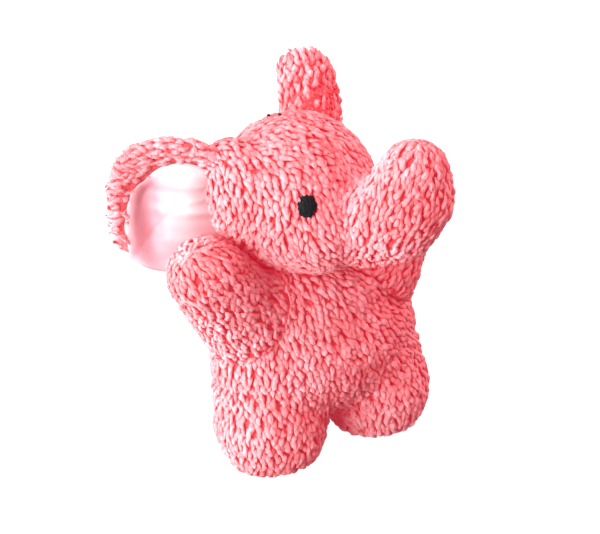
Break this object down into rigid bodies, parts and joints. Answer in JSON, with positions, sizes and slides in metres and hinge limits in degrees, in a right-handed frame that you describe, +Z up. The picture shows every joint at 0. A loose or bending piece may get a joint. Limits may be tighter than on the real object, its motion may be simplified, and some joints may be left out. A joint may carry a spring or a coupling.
{
  "type": "plush elephant",
  "caption": "Small standing soft toy elephant in pink curly pile fabric, with satin-lined ears, a curled trunk, embroidered eyes and loose fibre filling.",
  "frame": {"origin": "on the floor under the middle of the toy's overall box, between and level with the soles", "axes": "+X towards the toy's left, -Y towards its front, +Z up"},
  "size_m": [0.1543, 0.1368, 0.1776],
  "materials": {
    "curly_pile": "matt curly pile fleece",
    "ear_satin": "soft satin sheen",
    "filling_fibre": "loose crimped fibre",
    "eye_yarn": "fuzzy yarn",
    "sewing_thread": "twisted thread"
  },
  "bodies": {
    "torso": {"torso_front_panel": "curly_pile", "torso_back_panel": "curly_pile", "torso_stuffing": "filling_fibre", "closing_stitches": "sewing_thread"},
    "right_leg": {"right_leg_front_panel": "curly_pile", "right_leg_back_panel": "curly_pile", "right_leg_stuffing": "filling_fibre"},
    "left_leg": {"left_leg_front_panel": "curly_pile", "left_leg_back_panel": "curly_pile", "left_leg_stuffing": "filling_fibre"},
    "right_arm": {"right_arm_front_panel": "curly_pile", "right_arm_back_panel": "curly_pile", "right_arm_stuffing": "filling_fibre"},
    "left_arm": {"left_arm_front_panel": "curly_pile", "left_arm_back_panel": "curly_pile", "left_arm_stuffing": "filling_fibre"},
    "head": {"head_right_panel": "curly_pile", "head_left_panel": "curly_pile", "head_stuffing": "filling_fibre", "crown_thread_ends": "sewing_thread", "right_eye": "eye_yarn", "left_eye": "eye_yarn"},
    "trunk": {"trunk_right_panel": "curly_pile", "trunk_left_panel": "curly_pile", "trunk_stuffing": "filling_fibre"},
    "right_ear": {"right_ear_back": "curly_pile", "right_ear_lining": "ear_satin"},
    "left_ear": {"left_ear_back": "curly_pile", "left_ear_lining": "ear_satin"}
  },
  "joints": [
    {"name": "head_turn", "type": "hinge", "parent": "torso", "child": "head", "pos_m": [0.00487, 0.00177, 0.0945], "axis": [0, 0, 1], "range_deg": [-60, 1], "stiffness_Nm_per_rad": 0.5},
    {"name": "trunk_curl", "type": "hinge", "parent": "head", "child": "trunk", "pos_m": [0.02337, -0.03427, 0.118], "axis": [-0.866, -0.5, 0], "range_deg": [-18, 10], "stiffness_Nm_per_rad": 0.15},
    {"name": "right_ear_flap", "type": "hinge", "parent": "head", "child": "right_ear", "pos_m": [-0.03654, -0.00609, 0.1395], "axis": [0.1312, -0.0852, 0.9877], "range_deg": [-30, 1], "stiffness_Nm_per_rad": 0.05},
    {"name": "left_ear_flap", "type": "hinge", "parent": "head", "child": "left_ear", "pos_m": [0.02918, 0.03144, 0.14002], "axis": [-0.6399, 0.7363, -0.2201], "range_deg": [-8, 40], "stiffness_Nm_per_rad": 0.05},
    {"name": "right_arm_swing", "type": "hinge", "parent": "torso", "child": "right_arm", "pos_m": [-0.03513, -0.00223, 0.086], "axis": [-0.515, 0.8572, 0], "range_deg": [-18, 1], "stiffness_Nm_per_rad": 0.2},
    {"name": "left_arm_swing", "type": "hinge", "parent": "torso", "child": "left_arm", "pos_m": [0.04487, -0.00223, 0.086], "axis": [0.2079, -0.9781, 0], "range_deg": [-18, 3], "stiffness_Nm_per_rad": 0.2},
    {"name": "right_leg_swing", "type": "hinge", "parent": "torso", "child": "right_leg", "pos_m": [-0.02413, 0.00377, 0.037], "axis": [-1, 0, 0], "range_deg": [-18, 18], "stiffness_Nm_per_rad": 0.8},
    {"name": "left_leg_swing", "type": "hinge", "parent": "torso", "child": "left_leg", "pos_m": [0.03387, 0.00377, 0.037], "axis": [-1, 0, 0], "range_deg": [-18, 18], "stiffness_Nm_per_rad": 0.8}
  ]
}
